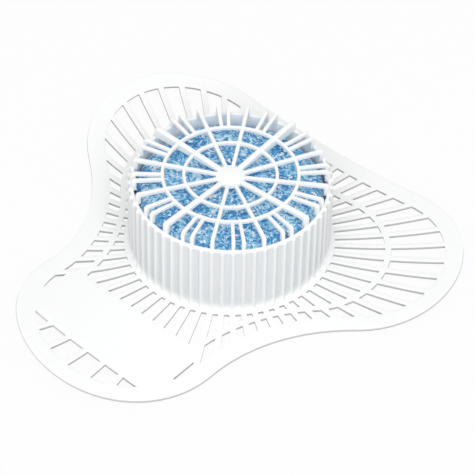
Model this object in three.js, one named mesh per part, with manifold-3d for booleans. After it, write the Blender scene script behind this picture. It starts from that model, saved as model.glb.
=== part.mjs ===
// Urinal deodorizer screen: a soft three-lobed drain mat with a fluted round
// basket standing on it, moulded in one, and a deodorizer block held in the basket.
// Millimetres, +Z up. The origin is under the middle of the whole, on the face that it rests on.
// The tab lobe, which carries the blank label plate, points to -Y.
import * as THREE from 'three';
import { mergeVertices } from 'three/addons/utils/BufferGeometryUtils.js';
import Module from 'manifold-3d';

const wasm = await Module();
wasm.setup();

// Mat: outline
const matThickness = 1.2;
const sideLobeOut = 53.3; // from the axis to the centre of a side lobe's arc
const sideLobeRadius = 41.4;
const sideLobeAzimuth = 30; // degrees above +X, and the same on the other side
const tabLobeOut = 61.7;
const tabLobeRadius = 43.3;
const valleyRadius = 69.7; // hollow arc between the tab and a side lobe
const backHollow = 0.8; // depth of the shallow hollow between the two side lobes
// Mat: solid border between the outline and the slots
const sideBorder = 7.05;
const tabBorder = 7.4;
const borderValleyRadius = 73.9;
// Mat: ring band between the inner and the outer row of slots, by its outer edge
const bandSideOut = 31.4;
const bandSideRadius = 34.4;
const bandTabRadius = 30.3;
const bandValleyRadius = 73.8;
const bandWidth = 2.4;
// Mat: radial ribs, and the slots left between them
const ribCount = 60;
const innerRibWidth = 2.3;
const outerRibWidth = 2.45;
const footMargin = 1.7; // solid ring outside the flutes
const shortestSlot = 0.8;
// Mat: blank label plate on the tab lobe
const plateHalfWidth = 33.6;
const plateNear = 54.9; // from the axis to its edge beside the basket
const plateFar = 85.9;
// Mat: bow of the soft sheet, as rise over the square of the distance past the flutes
const bowRise = 0.0024;
const bowLean = 0.0019; // extra on one side
const bowLeanAzimuth = 186;
const bowTwist = 0.0014; // extra along one line through the axis
const bowTwistAzimuth = 28;

// Basket wall
const wallInnerRadius = 38.6;
const wallThickness = 1.4;
const fluteDepth = 1.0;
const fluteWidth = 1.2;
const rimHeight = 33.5;

// Cage over the basket
const cageLift = 2.6; // from the rim to the top of the hub
const cageRise = 0.055; // the top climbs outwards by this slope
const hubRadius = 5.9;
const innerRingRadius = 18.5;
const outerRingRadius = 27;
const ringWidth = 1.3;
const ringDepth = 1.7;
const spokeCount = 12;
const mainSpokeEvery = 3;
const spokeWidth = 1.5;
const spokeDepth = 1.9;
const spokeStart = 3; // the spokes begin inside the hub
const spokeStartDepth = 1.5;
const mainSpokeWidth = 2.2;
const mainSpokeOuterDepth = 4.6;
const shortRibWidth = 1.4;
const shortRibDepth = 1.6;
const shortRibSpread = 3; // degrees to each side of the middle between two spokes
const shoulderInset = 0.6; // from the wall's outside to where a rib turns down to the rim
const shoulderRound = 0.9;
const legDepth = 2.0;
const legSink = 0.8; // how far a leg runs into the wall

// Lugs inside the foot that keep the block up
const lugCount = 6;
const lugReach = 3.2;
const lugHalfAngle = 6;
const lugTipHalfAngle = 4;
const lugThickness = 1.2;

// Deodorizer block
const clearance = 0.3;
const blockGap = 0.7; // between the block and the wall
const blockTop = 31.2;
const blockTopRound = 4.5;
const blockBottomRound = 1.0;

// Facets
const matSteps = 2; // along a long stretch of the mat
const longestFacet = 12;
const closeness = 1e-4; // points nearer than this are one
const roundSegments = 60;

const radians = THREE.MathUtils.degToRad;
const panelRadius = wallInnerRadius + wallThickness;
const fluteRadius = panelRadius + fluteDepth;
const footRadius = fluteRadius + footMargin;
const shoulderRadius = panelRadius - shoulderInset;
const cageCentreHeight = rimHeight + cageLift;

function polar(radius, azimuth) {
  return new THREE.Vector2(radius * Math.cos(azimuth), radius * Math.sin(azimuth));
}

// Distance along a ray from the axis to a circle: side +1 is its far wall, -1 its near wall
function alongRay(azimuth, centre, radius, side) {
  const along = centre.dot(polar(1, azimuth));
  const halfChord = Math.sqrt(Math.max(along * along - centre.lengthSq() + radius * radius, 0));
  return along + side * halfChord;
}

// A closed line of three lobes joined by hollow arcs, the one at the back very shallow.
// It gives the line's distance from the axis at an azimuth.
function lobedLine(side, tab, valley) {
  const sideCentre = polar(side.out, radians(sideLobeAzimuth));
  const tabCentre = new THREE.Vector2(0, -tab.out);
  const toSide = side.radius + valley;
  const toTab = tab.radius + valley;
  const between = tabCentre.clone().sub(sideCentre);
  const span = between.length();
  const along = (toSide ** 2 - toTab ** 2 + span ** 2) / (2 * span);
  const off = Math.sqrt(Math.max(toSide ** 2 - along ** 2, 0));
  const direction = between.clone().normalize();
  const outward = new THREE.Vector2(-direction.y, direction.x);
  const valleyCentre = sideCentre.clone().addScaledVector(direction, along).addScaledVector(outward, off);
  const sideJoin = sideCentre.clone().lerp(valleyCentre, side.radius / toSide);
  const tabJoin = tabCentre.clone().lerp(valleyCentre, tab.radius / toTab);
  const backRadius = sideCentre.x ** 2 / (2 * backHollow);
  const backRise = Math.sqrt((backRadius + side.radius) ** 2 - sideCentre.x ** 2);
  const backCentre = new THREE.Vector2(0, sideCentre.y + backRise);
  const backPoint = sideCentre.clone().lerp(backCentre, side.radius / (backRadius + side.radius));
  return (azimuth) => {
    const point = polar(1, azimuth);
    const folded = Math.atan2(point.y, Math.abs(point.x));
    if (folded >= Math.atan2(backPoint.y, backPoint.x)) return alongRay(folded, backCentre, backRadius, -1);
    if (folded >= Math.atan2(sideJoin.y, sideJoin.x)) return alongRay(folded, sideCentre, side.radius, 1);
    if (folded >= Math.atan2(tabJoin.y, tabJoin.x)) return alongRay(folded, valleyCentre, valley, -1);
    return alongRay(folded, tabCentre, tab.radius, 1);
  };
}

const outline = lobedLine(
  { out: sideLobeOut, radius: sideLobeRadius },
  { out: tabLobeOut, radius: tabLobeRadius },
  valleyRadius,
);
const borderEdge = lobedLine(
  { out: sideLobeOut, radius: sideLobeRadius - sideBorder },
  { out: tabLobeOut, radius: tabLobeRadius - tabBorder },
  borderValleyRadius,
);
const bandOuterEdge = lobedLine(
  { out: bandSideOut, radius: bandSideRadius },
  { out: tabLobeOut, radius: bandTabRadius },
  bandValleyRadius,
);
const bandInnerEdge = lobedLine(
  { out: bandSideOut, radius: bandSideRadius - bandWidth },
  { out: tabLobeOut, radius: bandTabRadius - bandWidth },
  bandValleyRadius + bandWidth,
);

// Angle from the tab's axis, which points to -Y
function fromTab(azimuth) {
  const point = polar(1, azimuth);
  return Math.abs(Math.atan2(point.x, -point.y));
}

const plateRibs = 5; // the plate ends at this rib, counted from the tab's axis
const plateCorner = (2 * Math.PI * plateRibs) / ribCount;

function innerRowEnd(azimuth) {
  const angle = fromTab(azimuth);
  const band = Math.max(bandInnerEdge(azimuth), footRadius);
  return angle < plateCorner ? Math.min(band, plateNear / Math.cos(angle)) : band;
}

function outerRowStart(azimuth) {
  const angle = fromTab(azimuth);
  const border = borderEdge(azimuth);
  if (angle >= plateCorner) return Math.min(bandOuterEdge(azimuth), border);
  return Math.min(plateFar / Math.cos(angle), plateHalfWidth / Math.sin(angle), border);
}

// Height of the mat's underside: flat under the basket, bowed up outside it
function bow(x, y) {
  const azimuth = Math.atan2(y, x);
  const past = Math.max(Math.hypot(x, y) - fluteRadius, 0);
  const lean = bowLean * Math.cos(azimuth - radians(bowLeanAzimuth));
  const twist = bowTwist * Math.cos(2 * (azimuth - radians(bowTwistAzimuth)));
  return (bowRise + lean + twist) * past * past;
}

const ribPitch = (2 * Math.PI) / ribCount;
const tabAzimuth = -Math.PI / 2;

// The mat's lines around the axis, from inside the wall's thickness to the outline.
// Each has the width of the ribs there, and slots or solid sheet beyond it.
const matLines = [
  { radiusAt: () => wallInnerRadius + wallThickness / 2, ribWidth: innerRibWidth, slotted: false },
  { radiusAt: () => footRadius, ribWidth: innerRibWidth, slotted: true },
  { radiusAt: innerRowEnd, ribWidth: innerRibWidth, slotted: false },
  { radiusAt: outerRowStart, ribWidth: outerRibWidth, slotted: true },
  { radiusAt: borderEdge, ribWidth: outerRibWidth, slotted: false },
  { radiusAt: outline, ribWidth: outerRibWidth, slotted: false },
];

// A column of the mat along an azimuth, moved sideways by a share of the ribs' width.
// It gives the column's length between a line and the next, and its points there.
function column(azimuth, share) {
  const offsets = matLines.map((line) => share * line.ribWidth);
  const distances = matLines.map((line, index) => {
    let distance = line.radiusAt(azimuth);
    for (let pass = 0; pass < 4; pass += 1) {
      const radius = line.radiusAt(azimuth + Math.atan2(offsets[index], distance));
      distance = Math.sqrt(radius ** 2 - offsets[index] ** 2);
    }
    return distance;
  });
  const lengthAfter = (line) => Math.max(distances[line + 1] - distances[line], 0);
  const pointAfter = (line, step) => {
    const isLong = lengthAfter(line) > longestFacet;
    const along = isLong ? step / matSteps : Math.floor(step / matSteps);
    const distance = distances[line] + along * lengthAfter(line);
    const offset = THREE.MathUtils.lerp(offsets[line], offsets[line + 1], along);
    return polar(distance, azimuth).add(polar(offset, azimuth + Math.PI / 2));
  };
  return { lengthAfter, pointAfter };
}

function solid(geometry) {
  const bare = geometry.clone();
  bare.deleteAttribute('normal');
  bare.deleteAttribute('uv');
  const merged = mergeVertices(bare, closeness);
  return new wasm.Manifold(new wasm.Mesh({
    numProp: 3,
    vertProperties: new Float32Array(merged.attributes.position.array),
    triVerts: new Uint32Array(merged.index.array),
  }));
}

function geometryOf(manifold) {
  const mesh = manifold.getMesh();
  const geometry = new THREE.BufferGeometry();
  geometry.setAttribute('position', new THREE.BufferAttribute(mesh.vertProperties, 3));
  geometry.setIndex(new THREE.BufferAttribute(mesh.triVerts, 1));
  geometry.computeVertexNormals();
  return geometry;
}

function join(solids) {
  return wasm.Manifold.union(solids);
}

// One facet of the mat between two columns, bowed. It has four corners, or three at a slot's tip.
function matFacet(corners) {
  const apart = corners.filter((point, index) => point.distanceTo(corners[(index + 1) % 4]) > closeness);
  if (apart.length < 3) return null;
  const geometry = new THREE.ExtrudeGeometry(new THREE.Shape(apart), { depth: matThickness, bevelEnabled: false });
  const position = geometry.attributes.position;
  for (let index = 0; index < position.count; index += 1) {
    const lift = bow(position.getX(index), position.getY(index));
    position.setZ(index, position.getZ(index) + lift);
  }
  return geometry;
}

// The mat, as facets around the axis with the slots left open
function mat() {
  const columns = [];
  for (let index = 0; index < ribCount; index += 1) {
    const azimuth = tabAzimuth + index * ribPitch;
    columns.push(column(azimuth, -0.5), column(azimuth, 0.5), column(azimuth + ribPitch / 2, 0));
  }
  const columnAt = (index) => columns[index % columns.length];
  const isSlot = (index, line) => {
    const along = index % 3;
    if (!matLines[line].slotted || along === 0) return false;
    const sides = [1, 2, 3].map((side) => columnAt(index - along + side).lengthAfter(line));
    return Math.max(...sides) >= shortestSlot;
  };
  const facets = [];
  for (let index = 0; index < columns.length; index += 1) {
    const [left, right] = [columnAt(index), columnAt(index + 1)];
    for (let line = 0; line < matLines.length - 1; line += 1) {
      if (isSlot(index, line)) continue;
      for (let step = 0; step < matSteps; step += 1) {
        const near = [left.pointAfter(line, step), right.pointAfter(line, step)];
        const far = [right.pointAfter(line, step + 1), left.pointAfter(line, step + 1)];
        facets.push(matFacet([...near, ...far]));
      }
    }
  }
  return facets.filter((facet) => facet !== null);
}

// The round wall with a flute on each rib's azimuth
function wall() {
  const points = [];
  const panelHalf = Math.asin(fluteWidth / 2 / panelRadius);
  const fluteHalf = Math.asin(fluteWidth / 2 / fluteRadius);
  for (let index = 0; index < ribCount; index += 1) {
    const azimuth = tabAzimuth + index * ribPitch;
    points.push(polar(panelRadius, azimuth - panelHalf));
    points.push(polar(fluteRadius, azimuth - fluteHalf));
    points.push(polar(fluteRadius, azimuth + fluteHalf));
    points.push(polar(panelRadius, azimuth + panelHalf));
  }
  const ring = new THREE.Shape(points);
  const inside = [];
  for (let step = 0; step < roundSegments; step += 1) {
    inside.push(polar(wallInnerRadius, (2 * Math.PI * step) / roundSegments));
  }
  ring.holes.push(new THREE.Path(inside));
  return new THREE.ExtrudeGeometry(ring, { depth: rimHeight, bevelEnabled: false, curveSegments: 1 });
}

function cageTop(radius) {
  return cageCentreHeight + cageRise * radius;
}

// A flat band around the axis whose top follows the cage
function cageRing(radius) {
  const profile = [
    [radius - ringWidth / 2, cageTop(radius) - ringDepth],
    [radius + ringWidth / 2, cageTop(radius) - ringDepth],
    [radius + ringWidth / 2, cageTop(radius)],
    [radius - ringWidth / 2, cageTop(radius)],
  ];
  const closed = [...profile, profile[0]].map(([x, y]) => new THREE.Vector2(x, y));
  return new THREE.LatheGeometry(closed, roundSegments).rotateX(Math.PI / 2);
}

function hub() {
  const top = cageCentreHeight;
  const profile = [
    [0, top - spokeDepth],
    [hubRadius, top - spokeDepth],
    [hubRadius, cageTop(hubRadius)],
    [0, top],
  ].map(([x, y]) => new THREE.Vector2(x, y));
  return new THREE.LatheGeometry(profile, roundSegments / 2).rotateX(Math.PI / 2);
}

// A rib of the cage seen from its side: along the top, over the shoulder and down the leg
function cageRib(innerRadius, width, innerDepth, outerDepth, azimuth) {
  const legFoot = rimHeight - legSink;
  const legInside = shoulderRadius - legDepth;
  const shoulderTop = cageTop(shoulderRadius);
  const rib = new THREE.Shape();
  rib.moveTo(innerRadius, cageTop(innerRadius));
  rib.lineTo(innerRadius, cageTop(innerRadius) - innerDepth);
  rib.lineTo(legInside, cageTop(legInside) - outerDepth);
  rib.lineTo(legInside, legFoot);
  rib.lineTo(shoulderRadius, legFoot);
  rib.lineTo(shoulderRadius, shoulderTop - shoulderRound);
  rib.lineTo(shoulderRadius - shoulderRound, cageTop(shoulderRadius - shoulderRound));
  const geometry = new THREE.ExtrudeGeometry(rib, { depth: width, bevelEnabled: false });
  geometry.translate(0, 0, -width / 2);
  geometry.rotateX(Math.PI / 2);
  return geometry.rotateZ(azimuth);
}

function cage() {
  const pieces = [hub(), cageRing(innerRingRadius), cageRing(outerRingRadius)];
  const spokePitch = (2 * Math.PI) / spokeCount;
  for (let index = 0; index < spokeCount; index += 1) {
    const azimuth = tabAzimuth + index * spokePitch;
    const isMain = index % mainSpokeEvery === 0;
    const width = isMain ? mainSpokeWidth : spokeWidth;
    const outerDepth = isMain ? mainSpokeOuterDepth : spokeDepth;
    pieces.push(cageRib(spokeStart, width, spokeStartDepth, outerDepth, azimuth));
    const middle = azimuth + spokePitch / 2;
    for (const side of [-1, 1]) {
      const at = middle + side * radians(shortRibSpread);
      pieces.push(cageRib(outerRingRadius, shortRibWidth, shortRibDepth, shortRibDepth, at));
    }
  }
  return pieces;
}

// Lugs inside the foot, under the block
function lugs() {
  const pieces = [];
  for (let index = 0; index < lugCount; index += 1) {
    const azimuth = (2 * Math.PI * index) / lugCount;
    const half = radians(lugHalfAngle);
    const tipHalf = radians(lugTipHalfAngle);
    const outside = wallInnerRadius + wallThickness / 2;
    const lug = new THREE.Shape([
      polar(wallInnerRadius - lugReach, azimuth - tipHalf),
      polar(outside, azimuth - half),
      polar(outside, azimuth + half),
      polar(wallInnerRadius - lugReach, azimuth + tipHalf),
    ]);
    pieces.push(new THREE.ExtrudeGeometry(lug, { depth: lugThickness, bevelEnabled: false }));
  }
  return pieces;
}

function screen() {
  return geometryOf(join([...mat(), wall(), ...lugs(), ...cage()].map(solid)));
}

// The block: a round cake with rounded edges, resting on the lugs
function block() {
  const radius = wallInnerRadius - blockGap;
  const bottom = lugThickness + clearance;
  const profile = [new THREE.Vector2(0, bottom)];
  const quarter = (round, x, y, from, steps) => {
    for (let step = 0; step <= steps; step += 1) {
      const angle = from + (Math.PI / 2) * (step / steps);
      profile.push(new THREE.Vector2(x + round * Math.cos(angle), y + round * Math.sin(angle)));
    }
  };
  quarter(blockBottomRound, radius - blockBottomRound, bottom + blockBottomRound, -Math.PI / 2, 2);
  quarter(blockTopRound, radius - blockTopRound, blockTop - blockTopRound, 0, 4);
  profile.push(new THREE.Vector2(0, blockTop));
  return new THREE.LatheGeometry(profile, roundSegments).rotateX(Math.PI / 2);
}

const whitePlastic = new THREE.MeshStandardMaterial({ color: 0xf2f3f4, roughness: 0.45, metalness: 0 });
const blueBlock = new THREE.MeshStandardMaterial({ color: 0x3f8fd8, roughness: 0.35, metalness: 0 });

function named(name, geometry, material) {
  const mesh = new THREE.Mesh(geometry, material);
  mesh.name = name;
  return mesh;
}

const part = new THREE.Group();
part.add(named('screen', screen(), whitePlastic));
part.add(named('deodorizer_block', block(), blueBlock));

// The origin goes under the middle of the whole
const box = new THREE.Box3().setFromObject(part);
part.position.y = -(box.min.y + box.max.y) / 2;

export default part;
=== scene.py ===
import math

import bmesh
import bpy
import numpy as np
from mathutils import Matrix, Quaternion, Vector, noise


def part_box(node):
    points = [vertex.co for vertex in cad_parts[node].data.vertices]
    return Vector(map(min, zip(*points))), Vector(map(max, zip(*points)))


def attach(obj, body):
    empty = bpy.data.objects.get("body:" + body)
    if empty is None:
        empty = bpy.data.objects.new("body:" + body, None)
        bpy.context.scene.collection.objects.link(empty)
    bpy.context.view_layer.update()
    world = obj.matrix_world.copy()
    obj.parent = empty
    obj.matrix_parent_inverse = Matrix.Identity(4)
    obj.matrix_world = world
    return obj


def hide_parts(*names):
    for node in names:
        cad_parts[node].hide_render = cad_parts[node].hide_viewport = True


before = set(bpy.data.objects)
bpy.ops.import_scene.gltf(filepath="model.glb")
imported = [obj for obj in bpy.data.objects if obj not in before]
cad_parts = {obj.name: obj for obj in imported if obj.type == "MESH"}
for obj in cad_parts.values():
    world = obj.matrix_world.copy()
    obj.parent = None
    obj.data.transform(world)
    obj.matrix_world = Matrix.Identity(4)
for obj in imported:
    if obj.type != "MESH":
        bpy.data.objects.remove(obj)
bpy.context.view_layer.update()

MM = 0.001
BODY = "root"

# The basket's axis, which is not in the middle of the whole
BLOCK_LOW, BLOCK_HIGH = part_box("deodorizer_block")
AXIS = Vector((0, (BLOCK_LOW.y + BLOCK_HIGH.y) / 2, 0))

# Mat: outline, border and ring band, as circles around each lobe
MAT_THICKNESS = 1.2
SIDE_LOBE_AZIMUTH = 30
SIDE_LOBE_OUT = 53.3
TAB_LOBE_OUT = 61.7
OUTLINE = {"side": (SIDE_LOBE_OUT, 41.4), "tab": (TAB_LOBE_OUT, 43.3), "valley": 69.7}
BORDER = {"side": (SIDE_LOBE_OUT, 34.35), "tab": (TAB_LOBE_OUT, 35.9), "valley": 73.9}
BAND_OUTSIDE = {"side": (31.4, 34.4), "tab": (TAB_LOBE_OUT, 30.3), "valley": 73.8}
BAND_INSIDE = {"side": (31.4, 32.0), "tab": (TAB_LOBE_OUT, 27.9), "valley": 76.2}
BACK_HOLLOW = 0.8

# Mat: ribs, slots and blank label plate
RIBS = 60
INNER_RIB_WIDTH = 2.3
OUTER_RIB_WIDTH = 2.45
FOOT_RADIUS = 42.7
SHORTEST_SLOT = 0.8
PLATE_HALF_WIDTH = 33.6
PLATE_NEAR = 54.9
PLATE_FAR = 85.9
PLATE_RIBS = 5
MAT_EDGE_ROUND = 0.28

# Mat: bow of the soft sheet, past the wall
BOW_START = 41.0
BOW_RISE = 0.0024
BOW_LEAN = 0.0019
BOW_LEAN_AZIMUTH = 186
BOW_TWIST = 0.0014
BOW_TWIST_AZIMUTH = 28

# Basket wall
WALL_INSIDE = 38.6
WALL_OUTSIDE = 40.0
RIM_HEIGHT = 33.5
RIM_ROUND = 0.55
WALL_FOOT = 0.1
FLUTE_DEPTH = 0.95
FLUTE_WIDTH = 2.5
FLUTE_SINK = 0.5
FLUTE_FULLNESS = 0.8

# Cage
CAGE_HEIGHT = 36.1
CAGE_RISE = 0.055
HUB_RADIUS = 5.9
HUB_DEPTH = 1.9
INNER_RING = 18.5
OUTER_RING = 27.0
RING_WIDTH = 1.3
RING_DEPTH = 1.7
RING_EDGE_ROUND = 0.3
SPOKES = 12
MAIN_SPOKE_EVERY = 3
SPOKE_START = 3.0
SPOKE_WIDTH = 1.5
SPOKE_START_DEPTH = 1.5
SPOKE_DEPTH = 1.9
MAIN_SPOKE_WIDTH = 2.2
MAIN_SPOKE_DEPTHS = {"front": 2.0, "right": 2.0, "back": 4.4, "left": 4.4}
SHORT_RIB_WIDTH = 1.4
SHORT_RIB_DEPTH = 1.6
SHORT_RIB_SPREAD = 3.0
SHOULDER_RADIUS = 39.4
SHOULDER_ROUND = 0.9
LEG_DEPTH = 2.0
LEG_SINK = 0.8
CAGE_EDGE_ROUND = 0.28

# Lugs under the block
LUGS = 6
LUG_REACH = 3.2
LUG_SINK = 0.5
LUG_WIDTH = 7.0
LUG_TIP_WIDTH = 4.9
LUG_THICKNESS = 1.2
LUG_EDGE_ROUND = 0.2

# Block: skin left for its pits, rounded edges, and the pits as a noise scale and a depth
BLOCK_SIDE_SKIN = 0.15
BLOCK_END_SKIN = 0.1
BLOCK_TOP_ROUND = 4.5
BLOCK_BOTTOM_ROUND = 1.0
COARSE_PITS = (0.22, 0.22)
FINE_PITS = (0.8, 0.12)

# Painted shade on the white plastic, fading in and out between these radii and heights: grey on the basket
# wall's outer face and flutes, deeper in the panels between the flutes, and dark on the mat's upright sides,
# picked out by their slope
WALL_SHADE_STARTS = (39.5, 39.9)
WALL_SHADE_ENDS = (41.0, 41.2)
PANEL_SHADE_ENDS = (40.1, 40.8)
WALL_SHADE_FOOT = (1.0, 6.0)
WALL_SHADE_RIM = (31.8, 33.2)
SIDE_SHADE_STARTS = (41.5, 42.5)
SIDE_SHADE_TOP = (10.5, 12.5)
SIDE_SHADE_SLOPE = (0.6, 1.0)

# Light and ground. The lamp's place and size are in metres, its power in watts
WORLD_STRENGTH = 0.66
KEY_PLACE = (0.55, -0.62, 1.05)
KEY_SIZE = 1.1
KEY_POWER = 10.8
FLOOR_HEIGHT = -0.2
FLOOR_HALF = 3000
FLOOR_GREY = 0.72
FLOOR_WHITE_SHARE = 0.95

# Camera, from the photograph
IMAGE_SIZE = 475
CAMERA_DISTANCE = 1083.1
CAMERA_AZIMUTH = 39.66
CAMERA_ELEVATION = 45.15
CAMERA_YAW = -0.173
CAMERA_TILT = 0.052
CAMERA_ROLL = -1.079
FOCAL_PIXELS = 2675.6
SENSOR_WIDTH = 36.0

TAB_AZIMUTH = -math.pi / 2
RIB_PITCH = 2 * math.pi / RIBS


class Wire:
    """An output socket that takes part in sums: each operator adds a Math node"""

    def __init__(self, tree, socket):
        self.tree = tree
        self.socket = socket

    def math(self, operation, *others):
        return self.tree.node("ShaderNodeMath", {"operation": operation}, dict(enumerate((self, *others))))

    def __add__(self, other):
        return self.math("ADD", other)

    def __sub__(self, other):
        return self.math("SUBTRACT", other)

    def __rsub__(self, other):
        return self.tree.node("ShaderNodeMath", {"operation": "SUBTRACT"}, {0: other, 1: self})

    def __mul__(self, other):
        return self.math("MULTIPLY", other)

    def __truediv__(self, other):
        return self.math("DIVIDE", other)

    def __mod__(self, other):
        return self.math("FLOORED_MODULO", other)

    def __gt__(self, other):
        return self.math("GREATER_THAN", other)

    __radd__ = __add__
    __rmul__ = __mul__

    def between(self, low, high):
        """0 below low, 1 above high and smooth between them"""
        return self.tree.node("ShaderNodeMapRange", {"interpolation_type": "SMOOTHSTEP"}, {
            "Value": self, "From Min": low, "From Max": high,
        })


class Tree:
    """A node tree whose nodes are made by one method"""

    def __init__(self, tree):
        self.tree = tree

    def node(self, kind, settings=None, inputs=None, output=0):
        """A node with its settings and inputs, given back as the wire from one of its outputs"""
        made = self.tree.nodes.new(kind)
        for name, value in (settings or {}).items():
            if name == "stops":
                self.set_stops(made.color_ramp, value)
            else:
                setattr(made, name, value)
        for key, value in (inputs or {}).items():
            if isinstance(value, Wire):
                self.tree.links.new(value.socket, made.inputs[key])
            else:
                made.inputs[key].default_value = value
        return Wire(self, made.outputs[output]) if made.outputs else made

    @staticmethod
    def set_stops(ramp, stops):
        while len(ramp.elements) < len(stops):
            ramp.elements.new(1.0)
        for element, (place, colour) in zip(ramp.elements, stops):
            element.position = place
            element.color = (*colour, 1.0)

    def mix(self, share, first, second):
        """Two colours mixed by a share of 0 to 1"""
        values = {0: share, 6: self.colour(first), 7: self.colour(second)}
        return self.node("ShaderNodeMix", {"data_type": "RGBA"}, values, 2)

    @staticmethod
    def colour(value):
        return value if isinstance(value, Wire) else (*value, 1.0)


class Finish(Tree):
    """A material built from nodes"""

    def __init__(self, name):
        self.material = bpy.data.materials.new(name)
        self.material.use_nodes = True
        super().__init__(self.material.node_tree)
        self.tree.nodes.clear()

    def place(self):
        """Object coordinates, measured from the basket's axis"""
        place = self.node("ShaderNodeTexCoord", output="Object")
        return self.node("ShaderNodeMapping", {"vector_type": "POINT"}, {"Vector": place, "Location": -AXIS})

    def parts(self, vector):
        """The X, Y and Z of a vector"""
        return [self.node("ShaderNodeSeparateXYZ", {}, {0: vector}, axis) for axis in "XYZ"]

    def output(self, surface):
        self.node("ShaderNodeOutputMaterial", {}, {"Surface": surface})
        return self.material


def white_plastic():
    """Soft white vinyl: faintly clouded and satin, with painted shade greying the basket wall's outer face,
    deeper between its flutes, and darkening the mat's upright sides
    """
    finish = Finish("white_plastic")
    place = finish.place()
    clouds = finish.node("ShaderNodeTexNoise", {}, {"Vector": place, "Scale": 60.0, "Detail": 3.0})
    grain = finish.node("ShaderNodeTexNoise", {}, {"Vector": place, "Scale": 2400.0, "Detail": 2.0})
    plain = finish.mix(clouds, (0.925, 0.93, 0.935), (0.95, 0.95, 0.95))
    x, y, z = finish.parts(place)
    radius = (x * x + y * y).math("SQRT") / MM
    height = z / MM
    slope = 1 - finish.parts(finish.node("ShaderNodeNewGeometry", output="Normal"))[2]
    # Painted shade on the mat's upright sides (slot walls and outer edge), outside the wall and below the
    # cage, put into the colour as dark grey
    painted_side_shade = slope.between(*SIDE_SHADE_SLOPE) * radius.between(*SIDE_SHADE_STARTS)
    painted_side_shade = painted_side_shade * (1 - height.between(*SIDE_SHADE_TOP))
    # Painted shade: greys the basket wall's outer face and flutes, fading out towards the foot and the rim
    wall = radius.between(*WALL_SHADE_STARTS) * (1 - radius.between(*WALL_SHADE_ENDS))
    wall = wall * height.between(*WALL_SHADE_FOOT) * (1 - height.between(*WALL_SHADE_RIM))
    # Deeper painted shade in the recessed panels between the flutes
    panel_shade = wall * (1 - radius.between(*PANEL_SHADE_ENDS))
    colour = finish.mix(wall * 0.9, plain, (0.79, 0.805, 0.81))
    colour = finish.mix(panel_shade * 0.8, colour, (0.68, 0.705, 0.725))
    colour = finish.mix(painted_side_shade * 0.55, colour, (0.24, 0.24, 0.25))
    bump = finish.node("ShaderNodeBump", {}, {"Strength": 0.05, "Distance": 0.0001, "Height": grain})
    surface = finish.node("ShaderNodeBsdfPrincipled", {}, {
        "Base Color": colour,
        "Roughness": clouds * 0.1 + 0.42,
        "IOR": 1.46,
        "Normal": bump,
    })
    return finish.output(surface)


def pressed_flakes():
    """Blue block of pressed crystalline flakes: marbled and streaky, its sparkle glints painted near-white
    into the colour and made glossier
    """
    finish = Finish("pressed_flakes")
    place = finish.place()
    drift = finish.node("ShaderNodeTexNoise", {}, {"Vector": place, "Scale": 160.0, "Detail": 2.0}, "Color")
    shift = finish.node("ShaderNodeVectorMath", {"operation": "SCALE"}, {0: drift, "Scale": 0.006})
    warped = finish.node("ShaderNodeVectorMath", {"operation": "ADD"}, {0: place, 1: shift})
    marbling = finish.node("ShaderNodeTexNoise", {}, {"Vector": place, "Scale": 90.0, "Detail": 3.0})
    flakes = finish.node("ShaderNodeTexVoronoi", {}, {"Vector": warped, "Scale": 1000.0}, "Color")
    flake_shade = finish.node("ShaderNodeSeparateColor", {}, {0: flakes}, 0)
    strands = finish.node("ShaderNodeTexNoise", {}, {
        "Vector": warped, "Scale": 700.0, "Detail": 3.0, "Roughness": 0.6, "Distortion": 1.2,
    })
    curls = finish.node("ShaderNodeTexNoise", {}, {
        "Vector": warped, "Scale": 430.0, "Detail": 2.0, "Roughness": 0.5, "Distortion": 2.2,
    })
    thread = 1 - (curls - 0.5).math("ABSOLUTE").between(0.0, 0.075)
    fine_thread = 1 - (strands - 0.47).math("ABSOLUTE").between(0.0, 0.055)
    shade = marbling * 0.6 + flake_shade * 0.4 + strands * 0.9 - 0.52
    blue = finish.node("ShaderNodeValToRGB", {"stops": [
        (0.16, (0.018, 0.18, 0.45)),
        (0.34, (0.035, 0.29, 0.60)),
        (0.50, (0.075, 0.41, 0.70)),
        (0.66, (0.20, 0.59, 0.82)),
        (0.84, (0.58, 0.86, 0.94)),
    ]}, {"Fac": shade})
    lit = marbling.between(0.32, 0.62)
    blue = finish.mix(thread * lit * flake_shade.between(0.1, 0.7), blue, (0.86, 0.97, 1.0))
    blue = finish.mix(fine_thread * flake_shade.between(0.35, 0.85), blue, (0.78, 0.94, 1.0))
    # Painted glints: near-white flecks painted into the base colour, with lower roughness where they fall
    glints = finish.node("ShaderNodeTexVoronoi", {}, {"Vector": warped, "Scale": 900.0}, "Color")
    glint_shade = finish.node("ShaderNodeSeparateColor", {}, {0: glints}, 1)
    glint = glint_shade.between(0.84, 0.93) * strands.between(0.38, 0.52)
    colour = finish.mix(glint, blue, (0.93, 0.98, 1.0))
    height = flake_shade * 0.6 + strands
    bump = finish.node("ShaderNodeBump", {}, {"Strength": 0.55, "Distance": 0.0006, "Height": height})
    surface = finish.node("ShaderNodeBsdfPrincipled", {}, {
        "Base Color": colour,
        "Roughness": 0.45 - glint * 0.25,
        "IOR": 1.5,
        "Normal": bump,
    })
    return finish.output(surface)


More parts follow.
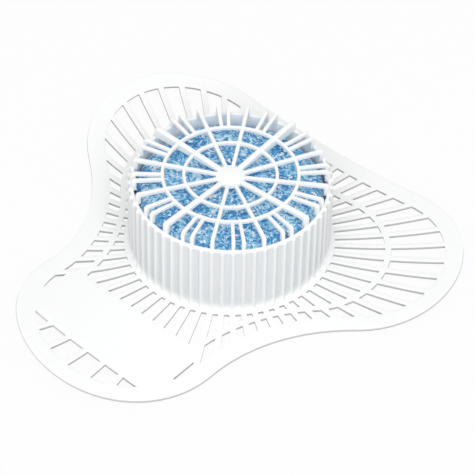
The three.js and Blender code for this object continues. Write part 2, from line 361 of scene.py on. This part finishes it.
def studio_floor():
    """White ground that keeps a faint shadow of the object"""
    finish = Finish("studio_floor")
    kinds = ("Camera", "Glossy", "Transmission")
    rays = [finish.node("ShaderNodeLightPath", output=f"Is {kind} Ray") for kind in kinds]
    seen = (rays[0] + rays[1] + rays[2]).math("MINIMUM", 1.0)
    ground = finish.node("ShaderNodeBsdfDiffuse", {}, {"Color": (FLOOR_GREY, FLOOR_GREY, FLOOR_GREY, 1.0)})
    white = finish.node("ShaderNodeEmission", {}, {"Color": (1.0, 1.0, 1.0, 1.0), "Strength": 1.0})
    surface = finish.node("ShaderNodeMixShader", {}, {0: seen * FLOOR_WHITE_SHARE, 1: ground, 2: white})
    return finish.output(surface)


def piece(name, points, faces):
    """A mesh object from points in millimetres"""
    mesh = bpy.data.meshes.new(name)
    mesh.from_pydata([Vector(point) * MM for point in points], [], faces)
    made = bpy.data.objects.new(name, mesh)
    bpy.context.scene.collection.objects.link(made)
    return made


def settle(made):
    """Turns the modifiers' result into the piece's plain mesh"""
    graph = bpy.context.evaluated_depsgraph_get()
    mesh = bpy.data.meshes.new_from_object(made.evaluated_get(graph))
    made.modifiers.clear()
    made.data = mesh
    mesh.name = made.name
    return made


def face_outwards(made):
    """Welds points that coincide and turns every face outwards"""
    shape = bmesh.new()
    shape.from_mesh(made.data)
    bmesh.ops.remove_doubles(shape, verts=shape.verts, dist=0.001 * MM)
    bmesh.ops.recalc_face_normals(shape, faces=shape.faces)
    shape.to_mesh(made.data)
    shape.free()
    return made


def round_edges(made, width, segments=2):
    """Rounds the sharp edges, once the piece is settled"""
    bevel = made.modifiers.new("round", "BEVEL")
    bevel.width = width * MM
    bevel.segments = segments
    bevel.limit_method = "ANGLE"
    bevel.angle_limit = math.radians(40)
    return made


def shade_smooth(made, angle=35):
    """Smooth shading, broken where faces meet at more than the angle in degrees"""
    made.data.shade_smooth()
    made.data.set_sharp_from_angle(angle=math.radians(angle))
    return made


def finished(made, material, node):
    """Moves a piece from the origin to the basket's axis, gives it its material, hangs it under the body and
    hides the CAD node it stands in for
    """
    made.data.transform(Matrix.Translation(AXIS))
    made.data.materials.clear()
    made.data.materials.append(material)
    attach(made, BODY)
    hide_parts(node)
    return made


def copies_tree():
    """Geometry nodes that turn one piece into a ring of copies around the axis"""
    group = bpy.data.node_groups.new("ring_of_copies", "GeometryNodeTree")
    face = group.interface
    face.new_socket(name="Piece", in_out="INPUT", socket_type="NodeSocketGeometry")
    sockets = {
        "Copies": face.new_socket(name="Copies", in_out="INPUT", socket_type="NodeSocketInt"),
        "First angle": face.new_socket(name="First angle", in_out="INPUT", socket_type="NodeSocketFloat"),
        "Left out every": face.new_socket(name="Left out every", in_out="INPUT", socket_type="NodeSocketInt"),
        "Finish": face.new_socket(name="Finish", in_out="INPUT", socket_type="NodeSocketMaterial"),
    }
    face.new_socket(name="Ring", in_out="OUTPUT", socket_type="NodeSocketGeometry")
    tree = Tree(group)
    given = group.nodes.new("NodeGroupInput")
    value = {socket.name: Wire(tree, socket) for socket in given.outputs if socket.name}
    index = tree.node("GeometryNodeInputIndex")
    points = tree.node("GeometryNodeMeshLine", {"mode": "OFFSET"}, {
        "Count": value["Copies"], "Offset": (0, 0, 0),
    })
    angle = index * 2 * math.pi / value["Copies"] + value["First angle"]
    turn = tree.node("ShaderNodeCombineXYZ", {}, {"Z": angle})
    kept = ((index + 1) % value["Left out every"]) > 0.5
    ring = tree.node("GeometryNodeInstanceOnPoints", {}, {
        "Points": points, "Selection": kept, "Instance": value["Piece"], "Rotation": turn,
    })
    real = tree.node("GeometryNodeRealizeInstances", {}, {"Geometry": ring})
    done = tree.node("GeometryNodeSetMaterial", {}, {"Geometry": real, "Material": value["Finish"]})
    tree.node("NodeGroupOutput", {}, {0: done})
    return group, {name: socket.identifier for name, socket in sockets.items()}


COPIES, COPIES_INPUT = copies_tree()


def ring_of(made, count, first, material, left_out_every=0):
    """Copies of a piece around the axis, the last of every so many left out"""
    maker = made.modifiers.new("ring", "NODES")
    maker.node_group = COPIES
    maker[COPIES_INPUT["Copies"]] = count
    maker[COPIES_INPUT["First angle"]] = first
    maker[COPIES_INPUT["Left out every"]] = left_out_every or count + 1
    maker[COPIES_INPUT["Finish"]] = material
    return settle(made)


def revolved(name, profile, steps):
    """A closed solid turned around the axis from a profile of radius and height"""
    points, faces, rings = [], [], []
    for radius, height in profile:
        if radius == 0:
            rings.append([len(points)] * steps)
            points.append((0, 0, height))
            continue
        rings.append(list(range(len(points), len(points) + steps)))
        for step in range(steps):
            angle = 2 * math.pi * step / steps
            points.append((radius * math.cos(angle), radius * math.sin(angle), height))
    closed = profile[0][0] > 0
    pairs = list(zip(rings, rings[1:] + rings[:1] if closed else rings[1:]))
    for low, high in pairs:
        for step in range(steps):
            after = (step + 1) % steps
            corners = [low[step], low[after], high[after], high[step]]
            faces.append(list(dict.fromkeys(corners)))
    return face_outwards(piece(name, points, [face for face in faces if len(face) > 2]))


def quarter(x, y, round_by, start, steps):
    """Points of a quarter turn, counted in degrees from start"""
    angles = [math.radians(start + 90 * step / steps) for step in range(steps + 1)]
    return [(x + round_by * math.cos(angle), y + round_by * math.sin(angle)) for angle in angles]


def rounded_box_profile(inner, outer, low, high, round_by):
    """Profile of a ring with a rounded rectangular section"""
    profile = []
    corners = [(outer, low, -90), (outer, high, 0), (inner, high, 90), (inner, low, 180)]
    for radius, height, start in corners:
        x = radius - round_by if radius == outer else radius + round_by
        y = height + round_by if height == low else height - round_by
        profile += quarter(x, y, round_by, start, 3)
    return profile


def along_ray(azimuth, centre, radius, side):
    """Distance along a ray from the axis to a circle: side +1 is its far wall, -1 its near wall"""
    along = centre[0] * np.cos(azimuth) + centre[1] * np.sin(azimuth)
    half_chord = np.sqrt(np.maximum(along ** 2 - centre @ centre + radius ** 2, 0))
    return along + side * half_chord


def lobed_line(side, tab, valley):
    """Three lobes joined by hollow arcs, the back one shallow, as a distance from the axis by azimuth"""
    azimuth = math.radians(SIDE_LOBE_AZIMUTH)
    side_centre = side[0] * np.array([math.cos(azimuth), math.sin(azimuth)])
    tab_centre = np.array([0.0, -tab[0]])
    to_side, to_tab = side[1] + valley, tab[1] + valley
    between = tab_centre - side_centre
    span = np.linalg.norm(between)
    along = (to_side ** 2 - to_tab ** 2 + span ** 2) / (2 * span)
    off = math.sqrt(max(to_side ** 2 - along ** 2, 0))
    direction = between / span
    outward = np.array([-direction[1], direction[0]])
    valley_centre = side_centre + direction * along + outward * off
    side_join = side_centre + (valley_centre - side_centre) * side[1] / to_side
    tab_join = tab_centre + (valley_centre - tab_centre) * tab[1] / to_tab
    back_radius = side_centre[0] ** 2 / (2 * BACK_HOLLOW)
    back_rise = math.sqrt((back_radius + side[1]) ** 2 - side_centre[0] ** 2)
    back_centre = np.array([0.0, side_centre[1] + back_rise])
    back_point = side_centre + (back_centre - side_centre) * side[1] / (back_radius + side[1])
    limits = [math.atan2(point[1], point[0]) for point in (back_point, side_join, tab_join)]

    def line(azimuth):
        folded = np.arctan2(np.sin(azimuth), np.abs(np.cos(azimuth)))
        return np.select([folded >= limits[0], folded >= limits[1], folded >= limits[2]], [
            along_ray(folded, back_centre, back_radius, -1),
            along_ray(folded, side_centre, side[1], 1),
            along_ray(folded, valley_centre, valley, -1),
        ], along_ray(folded, tab_centre, tab[1], 1))
    return line


outline = lobed_line(**OUTLINE)
border_line = lobed_line(**BORDER)
band_outside = lobed_line(**BAND_OUTSIDE)
band_inside = lobed_line(**BAND_INSIDE)
PLATE_CORNER = PLATE_RIBS * RIB_PITCH


def from_tab(azimuth):
    """Angle from the tab's axis"""
    return np.abs(np.arctan2(np.cos(azimuth), -np.sin(azimuth)))


def inner_row_end(azimuth):
    """Where the inner row of slots ends: at the ring band, or at the near side of the plate"""
    angle = from_tab(azimuth)
    near = PLATE_NEAR / np.cos(np.minimum(angle, PLATE_CORNER))
    return np.where(angle < PLATE_CORNER, np.minimum(band_inside(azimuth), near), band_inside(azimuth))


def outer_row_start(azimuth):
    """Where the outer row of slots starts: past the ring band, or past the plate"""
    angle = np.minimum(from_tab(azimuth), PLATE_CORNER)
    past_plate = np.minimum(PLATE_FAR / np.cos(angle), PLATE_HALF_WIDTH / np.maximum(np.sin(angle), 1e-6))
    start = np.where(from_tab(azimuth) < PLATE_CORNER, past_plate, band_outside(azimuth))
    return np.minimum(start, border_line(azimuth))


def level(radius):
    """A round line around the axis"""
    return lambda azimuth: np.full_like(azimuth, radius)


def bow(x, y):
    """Height of the mat's underside: flat under the basket, bowed up outside it"""
    azimuth = np.arctan2(y, x)
    past = np.maximum(np.hypot(x, y) - BOW_START, 0)
    lean = BOW_LEAN * np.cos(azimuth - math.radians(BOW_LEAN_AZIMUTH))
    twist = BOW_TWIST * np.cos(2 * (azimuth - math.radians(BOW_TWIST_AZIMUTH)))
    return (BOW_RISE + lean + twist) * past ** 2


# Mat, from the wall outwards. Each step has the line it ends at, its rows, its rib width and if slots open it
MAT_ROWS = [
    (level(FOOT_RADIUS), 2, INNER_RIB_WIDTH, False),
    (inner_row_end, 14, INNER_RIB_WIDTH, True),
    (outer_row_start, 10, OUTER_RIB_WIDTH, False),
    (border_line, 14, OUTER_RIB_WIDTH, True),
    (outline, 5, OUTER_RIB_WIDTH, False),
]
RIB_SHARES = (-0.5, 0.0, 0.5)
SLOT_SHARES = (0.2, 0.4, 0.6, 0.8)
COLUMNS_PER_RIB = len(RIB_SHARES) + len(SLOT_SHARES)


def mat_columns():
    """Columns along the ribs: azimuth, sideways share of the rib's width, and if a slot may open after it"""
    columns = []
    for rib in range(RIBS):
        azimuth = TAB_AZIMUTH + rib * RIB_PITCH
        columns += [(azimuth, share, share == RIB_SHARES[-1]) for share in RIB_SHARES]
        columns += [(azimuth + share * RIB_PITCH, 0.5 - share, True) for share in SLOT_SHARES]
    azimuth, share, opens = zip(*columns)
    return np.array(azimuth), np.array(share), np.array(opens)


def distances(line, azimuth, offset):
    """Distance along each column to a line"""
    distance = line(azimuth)
    for _ in range(5):
        radius = line(azimuth + np.arctan2(offset, distance))
        distance = np.sqrt(np.maximum(radius ** 2 - offset ** 2, 0))
    return distance


def mat_rows(azimuth, share):
    """Points of the mat in rows from the wall outwards, and for each row the slots' lengths or None"""
    start = distances(level(WALL_INSIDE), azimuth, share * INNER_RIB_WIDTH)
    rows, slot_lengths = [(start, share * INNER_RIB_WIDTH)], []
    for line, count, width, slotted in MAT_ROWS:
        end = np.maximum(distances(line, azimuth, share * width), start)
        length = end - start
        for step in range(1, count + 1):
            rows.append((start + length * step / count, share * width))
            slot_lengths.append(length if slotted else None)
        start = end
    x = np.array([out * np.cos(azimuth) - across * np.sin(azimuth) for out, across in rows])
    y = np.array([out * np.sin(azimuth) + across * np.cos(azimuth) for out, across in rows])
    return x, y, slot_lengths


def welded(x, y, z):
    """Points of a grid without repeats, and the number of each grid place"""
    number, points = {}, []
    index = np.zeros(x.shape, int)
    for place in np.ndindex(x.shape):
        key = (round(x[place], 3), round(y[place], 3))
        if key not in number:
            number[key] = len(points)
            points.append((x[place], y[place], z[place]))
        index[place] = number[key]
    return points, index


def drain_mat(material):
    """The soft bowed sheet with its rows of slots"""
    azimuth, share, opens = mat_columns()
    x, y, slot_lengths = mat_rows(azimuth, share)
    points, index = welded(x, y, bow(x, y))
    width = len(azimuth)
    faces = []
    for row, length in enumerate(slot_lengths):
        for column in range(width):
            after = (column + 1) % width
            rib = column - column % COLUMNS_PER_RIB
            slot = range(rib + len(RIB_SHARES) - 1, rib + COLUMNS_PER_RIB + 1)
            if length is not None and opens[column]:
                if max(length[part % width] for part in slot) >= SHORTEST_SLOT:
                    continue
            corners = [index[row + 1, column], index[row + 1, after], index[row, after], index[row, column]]
            corners = list(dict.fromkeys(int(corner) for corner in corners))
            if len(corners) > 2:
                faces.append(corners)
    made = piece("drain_mat", points, faces)
    shell = made.modifiers.new("thickness", "SOLIDIFY")
    shell.thickness = MAT_THICKNESS * MM
    shell.offset = 1.0
    round_edges(made, MAT_EDGE_ROUND)
    return finished(shade_smooth(settle(made)), material, "screen")


def basket_wall(material):
    """The thin round wall under the flutes"""
    profile = rounded_box_profile(WALL_INSIDE, WALL_OUTSIDE, WALL_FOOT, RIM_HEIGHT, RIM_ROUND)
    made = shade_smooth(revolved("basket_wall", profile, 240))
    return finished(made, material, "screen")


def flutes(material):
    """Upright soft ribs on the wall, rounded off at the rim"""
    sides = 14
    half = FLUTE_WIDTH / 2
    section = [(-FLUTE_SINK, -half)]
    for step in range(sides + 1):
        share = 2 * step / sides - 1
        swell = (0.5 + 0.5 * math.cos(math.pi * share)) ** FLUTE_FULLNESS
        section.append((FLUTE_DEPTH * swell, half * share))
    section.append((-FLUTE_SINK, half))
    heights = [(MAT_THICKNESS / 2, 1.0)]
    heights += [(RIM_HEIGHT - below, share) for below, share in ((0.6, 1.0), (0.25, 0.85), (0.05, 0.5))]
    points, faces = [], []
    for height, share in heights:
        for out, across in section:
            radius = WALL_OUTSIDE + (out * share if out > 0 else out)
            points.append((radius, across * (0.5 + share / 2), height))
    count = len(section)
    for level_index in range(len(heights) - 1):
        for step in range(count):
            after = (step + 1) % count
            low, high = level_index * count, (level_index + 1) * count
            faces.append([low + step, low + after, high + after, high + step])
    faces.append(list(range(count))[::-1])
    faces.append(list(range((len(heights) - 1) * count, len(heights) * count)))
    made = face_outwards(piece("wall_flutes", points, faces))
    ring_of(made, RIBS, TAB_AZIMUTH, material)
    return finished(shade_smooth(made, 50), material, "screen")


def cage_top(radius):
    """Height of the cage's top, which rises towards the wall"""
    return CAGE_HEIGHT + CAGE_RISE * radius


def blade(name, start, width, start_depth, depth, turn=0.0):
    """A rib of the cage: along the top, over the shoulder and down its leg to the rim"""
    leg_foot = RIM_HEIGHT - LEG_SINK
    leg_inside = SHOULDER_RADIUS - LEG_DEPTH
    side = [
        (start, cage_top(start)),
        (start, cage_top(start) - start_depth),
        (leg_inside, cage_top(leg_inside) - depth),
        (leg_inside, leg_foot),
        (SHOULDER_RADIUS, leg_foot),
        (SHOULDER_RADIUS, cage_top(SHOULDER_RADIUS) - SHOULDER_ROUND),
        (SHOULDER_RADIUS - SHOULDER_ROUND, cage_top(SHOULDER_RADIUS)),
    ]
    count = len(side)
    points = [(x, sign * width / 2, z) for sign in (-1, 1) for x, z in side]
    faces = [list(range(count)), list(range(count, 2 * count))]
    faces += [[step, (step + 1) % count, count + (step + 1) % count, count + step] for step in range(count)]
    made = face_outwards(piece(name, points, faces))
    made.data.transform(Matrix.Rotation(turn, 4, "Z"))
    return settle(round_edges(made, CAGE_EDGE_ROUND, 3))


def cage(material):
    """Hub, rings, spokes and short ribs over the basket"""
    pitch = 2 * math.pi / SPOKES
    half_ring = RING_WIDTH / 2
    made = []
    made.append(revolved("cage_hub", [
        (0, CAGE_HEIGHT - HUB_DEPTH),
        (HUB_RADIUS - 0.3, CAGE_HEIGHT - HUB_DEPTH),
        (HUB_RADIUS, CAGE_HEIGHT - HUB_DEPTH + 0.3),
        (HUB_RADIUS, CAGE_HEIGHT - 0.25),
        (HUB_RADIUS - 0.15, CAGE_HEIGHT + 0.1),
        (HUB_RADIUS - 0.6, CAGE_HEIGHT + 0.28),
        (0, CAGE_HEIGHT + 0.3),
    ], 72))
    for name, radius in (("cage_inner_ring", INNER_RING), ("cage_outer_ring", OUTER_RING)):
        top = cage_top(radius)
        inner, outer = radius - half_ring, radius + half_ring
        profile = rounded_box_profile(inner, outer, top - RING_DEPTH, top, RING_EDGE_ROUND)
        made.append(revolved(name, profile, 180))
    for number, (side, depth) in enumerate(MAIN_SPOKE_DEPTHS.items()):
        turn = TAB_AZIMUTH + number * MAIN_SPOKE_EVERY * pitch
        name = f"cage_{side}_spoke"
        made.append(blade(name, SPOKE_START, MAIN_SPOKE_WIDTH, SPOKE_START_DEPTH, depth, turn))
    plain = blade("cage_spokes", SPOKE_START, SPOKE_WIDTH, SPOKE_START_DEPTH, SPOKE_DEPTH)
    made.append(ring_of(plain, SPOKES, TAB_AZIMUTH + pitch, material, MAIN_SPOKE_EVERY))
    for side, name in ((-1, "cage_short_ribs_right"), (1, "cage_short_ribs_left")):
        short = blade(name, OUTER_RING, SHORT_RIB_WIDTH, SHORT_RIB_DEPTH, SHORT_RIB_DEPTH)
        first = TAB_AZIMUTH + pitch / 2 + side * math.radians(SHORT_RIB_SPREAD)
        made.append(ring_of(short, SPOKES, first, material))
    for part in made:
        finished(shade_smooth(part), material, "screen")


def lugs(material):
    """Small shelves inside the foot that keep the block up"""
    inside = WALL_INSIDE - LUG_REACH
    outside = WALL_INSIDE + LUG_SINK
    tip, root = LUG_TIP_WIDTH / 2, LUG_WIDTH / 2
    corners = [(inside, -tip), (outside, -root), (outside, root), (inside, tip)]
    points = [(x, y, z) for z in (0.0, LUG_THICKNESS) for x, y in corners]
    faces = [[3, 2, 1, 0], [4, 5, 6, 7]] + [[i, (i + 1) % 4, 4 + (i + 1) % 4, 4 + i] for i in range(4)]
    made = settle(round_edges(face_outwards(piece("block_lugs", points, faces)), LUG_EDGE_ROUND))
    ring_of(made, LUGS, 0.0, material)
    return finished(shade_smooth(made), material, "screen")


def deodorizer_block(material):
    """A round cake of pressed flakes with rounded edges and an uneven skin"""
    radius = BLOCK_HIGH.x / MM - BLOCK_SIDE_SKIN
    bottom = BLOCK_LOW.z / MM + BLOCK_END_SKIN
    top = BLOCK_HIGH.z / MM - BLOCK_END_SKIN
    profile = [(0, bottom)]
    profile += [(radius * share, bottom) for share in np.linspace(0.1, 0.95, 10)]
    profile += quarter(radius - BLOCK_BOTTOM_ROUND, bottom + BLOCK_BOTTOM_ROUND, BLOCK_BOTTOM_ROUND, -90, 4)
    profile += [(radius, height) for height in np.linspace(bottom + 3, top - BLOCK_TOP_ROUND - 1, 18)]
    profile += quarter(radius - BLOCK_TOP_ROUND, top - BLOCK_TOP_ROUND, BLOCK_TOP_ROUND, 0, 10)
    profile += [(radius * share, top) for share in np.linspace(0.86, 0.02, 44)]
    profile.append((0, top))
    made = revolved("pressed_block", profile, 220)
    for vertex in made.data.vertices:
        place = vertex.co / MM
        coarse = noise.noise(place * COARSE_PITS[0]) * COARSE_PITS[1]
        fine = noise.noise(place * FINE_PITS[0] + Vector((9, 0, 0))) * FINE_PITS[1]
        vertex.co -= vertex.normal * (abs(coarse) + abs(fine)) * MM
    return finished(shade_smooth(made, 80), material, "deodorizer_block")


def camera():
    """The photograph's camera, turned a little off the middle of the basket"""
    azimuth = math.radians(CAMERA_AZIMUTH)
    elevation = math.radians(CAMERA_ELEVATION)
    flat = CAMERA_DISTANCE * math.cos(elevation)
    height = CAMERA_DISTANCE * math.sin(elevation)
    place = Vector((flat * math.sin(azimuth), -flat * math.cos(azimuth), height))
    forward = -place.normalized()
    right = Vector((math.cos(azimuth), math.sin(azimuth), 0))
    up = right.cross(forward)
    yaw = Quaternion(up, math.radians(CAMERA_YAW))
    forward, right = yaw @ forward, yaw @ right
    tilt = Quaternion(right, math.radians(CAMERA_TILT))
    forward, up = tilt @ forward, tilt @ up
    roll = Quaternion(forward, math.radians(CAMERA_ROLL))
    right, up = roll @ right, roll @ up
    data = bpy.data.cameras.new("camera")
    data.sensor_width = SENSOR_WIDTH
    data.lens = FOCAL_PIXELS * SENSOR_WIDTH / IMAGE_SIZE
    data.clip_end = 20
    made = bpy.data.objects.new("camera", data)
    bpy.context.scene.collection.objects.link(made)
    turn = Matrix((right, up, -forward)).transposed().to_4x4()
    made.matrix_world = Matrix.Translation(AXIS + place * MM) @ turn
    bpy.context.scene.camera = made


def floor():
    """The white ground, staged just under the object"""
    corners = [(-1, -1), (1, -1), (1, 1), (-1, 1)]
    points = [(x * FLOOR_HALF, y * FLOOR_HALF, FLOOR_HEIGHT) for x, y in corners]
    made = piece("studio_floor", points, [[0, 1, 2, 3]])
    made.data.materials.append(studio_floor())


def soft_light(name, place, size, power):
    """A square lamp aimed at the basket"""
    data = bpy.data.lights.new(name, "AREA")
    data.size = size
    data.energy = power
    made = bpy.data.objects.new(name, data)
    bpy.context.scene.collection.objects.link(made)
    made.location = AXIS + Vector(place)
    made.rotation_euler = (-Vector(place)).to_track_quat("-Z", "Y").to_euler()


def studio():
    """White surroundings and one large soft lamp beside the camera"""
    world = bpy.data.worlds.new("studio")
    world.use_nodes = True
    sky = world.node_tree.nodes["Background"]
    sky.inputs["Color"].default_value = (1.0, 1.0, 1.0, 1.0)
    sky.inputs["Strength"].default_value = WORLD_STRENGTH
    bpy.context.scene.world = world
    bpy.context.scene.view_settings.view_transform = "Standard"
    soft_light("key", KEY_PLACE, KEY_SIZE, KEY_POWER)


camera()
floor()
studio()
white = white_plastic()
drain_mat(white)
basket_wall(white)
flutes(white)
cage(white)
lugs(white)
deodorizer_block(pressed_flakes())
